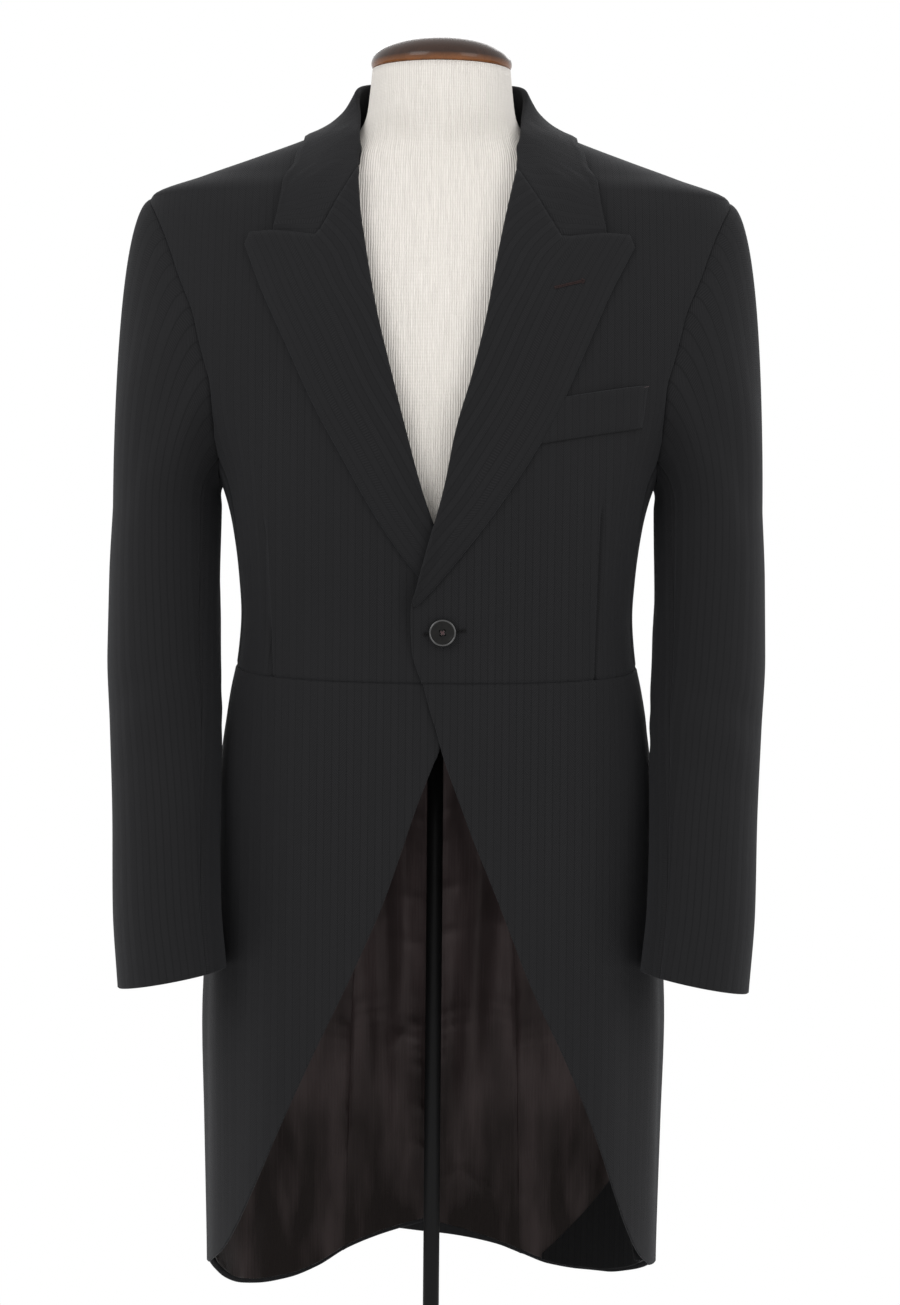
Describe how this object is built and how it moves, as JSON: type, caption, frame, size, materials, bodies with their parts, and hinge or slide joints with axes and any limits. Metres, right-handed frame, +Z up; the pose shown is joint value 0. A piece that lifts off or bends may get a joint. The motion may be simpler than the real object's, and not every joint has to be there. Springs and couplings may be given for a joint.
{
  "type": "morning coat on a dress form",
  "caption": "Single-breasted wool morning coat with peak lapels, waist seam and cutaway skirts, worn on a limbless dress form with a rod stand and round base.",
  "frame": {"origin": "on the floor, under the middle of the round base", "axes": "+Z up; the coat faces -Y; +X is the wearer's left"},
  "size_m": [0.527, 0.41, 1.496],
  "materials": {
    "wool": "charcoal-black wool with a fine herringbone stripe",
    "satin": "near-black satin lining with a soft sheen",
    "linen": "natural linen cover with slubs",
    "mahogany": "dark red turned wood, gloss varnish",
    "horn": "polished dark horn",
    "steel": "satin black paint"
  },
  "bodies": {
    "root": {"front_left": "wool", "front_right": "wool", "side_body_left": "wool", "side_body_right": "wool", "back_left": "wool", "back_right": "wool", "skirt_left": "wool", "skirt_right": "wool", "lapel_left": "wool", "lapel_right": "wool", "collar_fall": "wool", "collar_stand": "wool", "pocket_welt": "wool", "facing_skirt_left": "wool", "sleeve_top_left": "wool", "sleeve_top_right": "wool", "sleeve_under_left": "wool", "sleeve_under_right": "wool", "lining_skirt_left": "satin", "lining_skirt_right": "satin", "lining_back_left": "satin", "lining_back_right": "satin", "form_torso": "linen", "form_neck_cap": "mahogany", "button_front": "horn", "button_back_left": "horn", "button_back_right": "horn", "form_base_plate": "steel", "stand_pole": "steel", "stand_socket": "steel", "stand_base": "steel"}
  },
  "joints": []
}
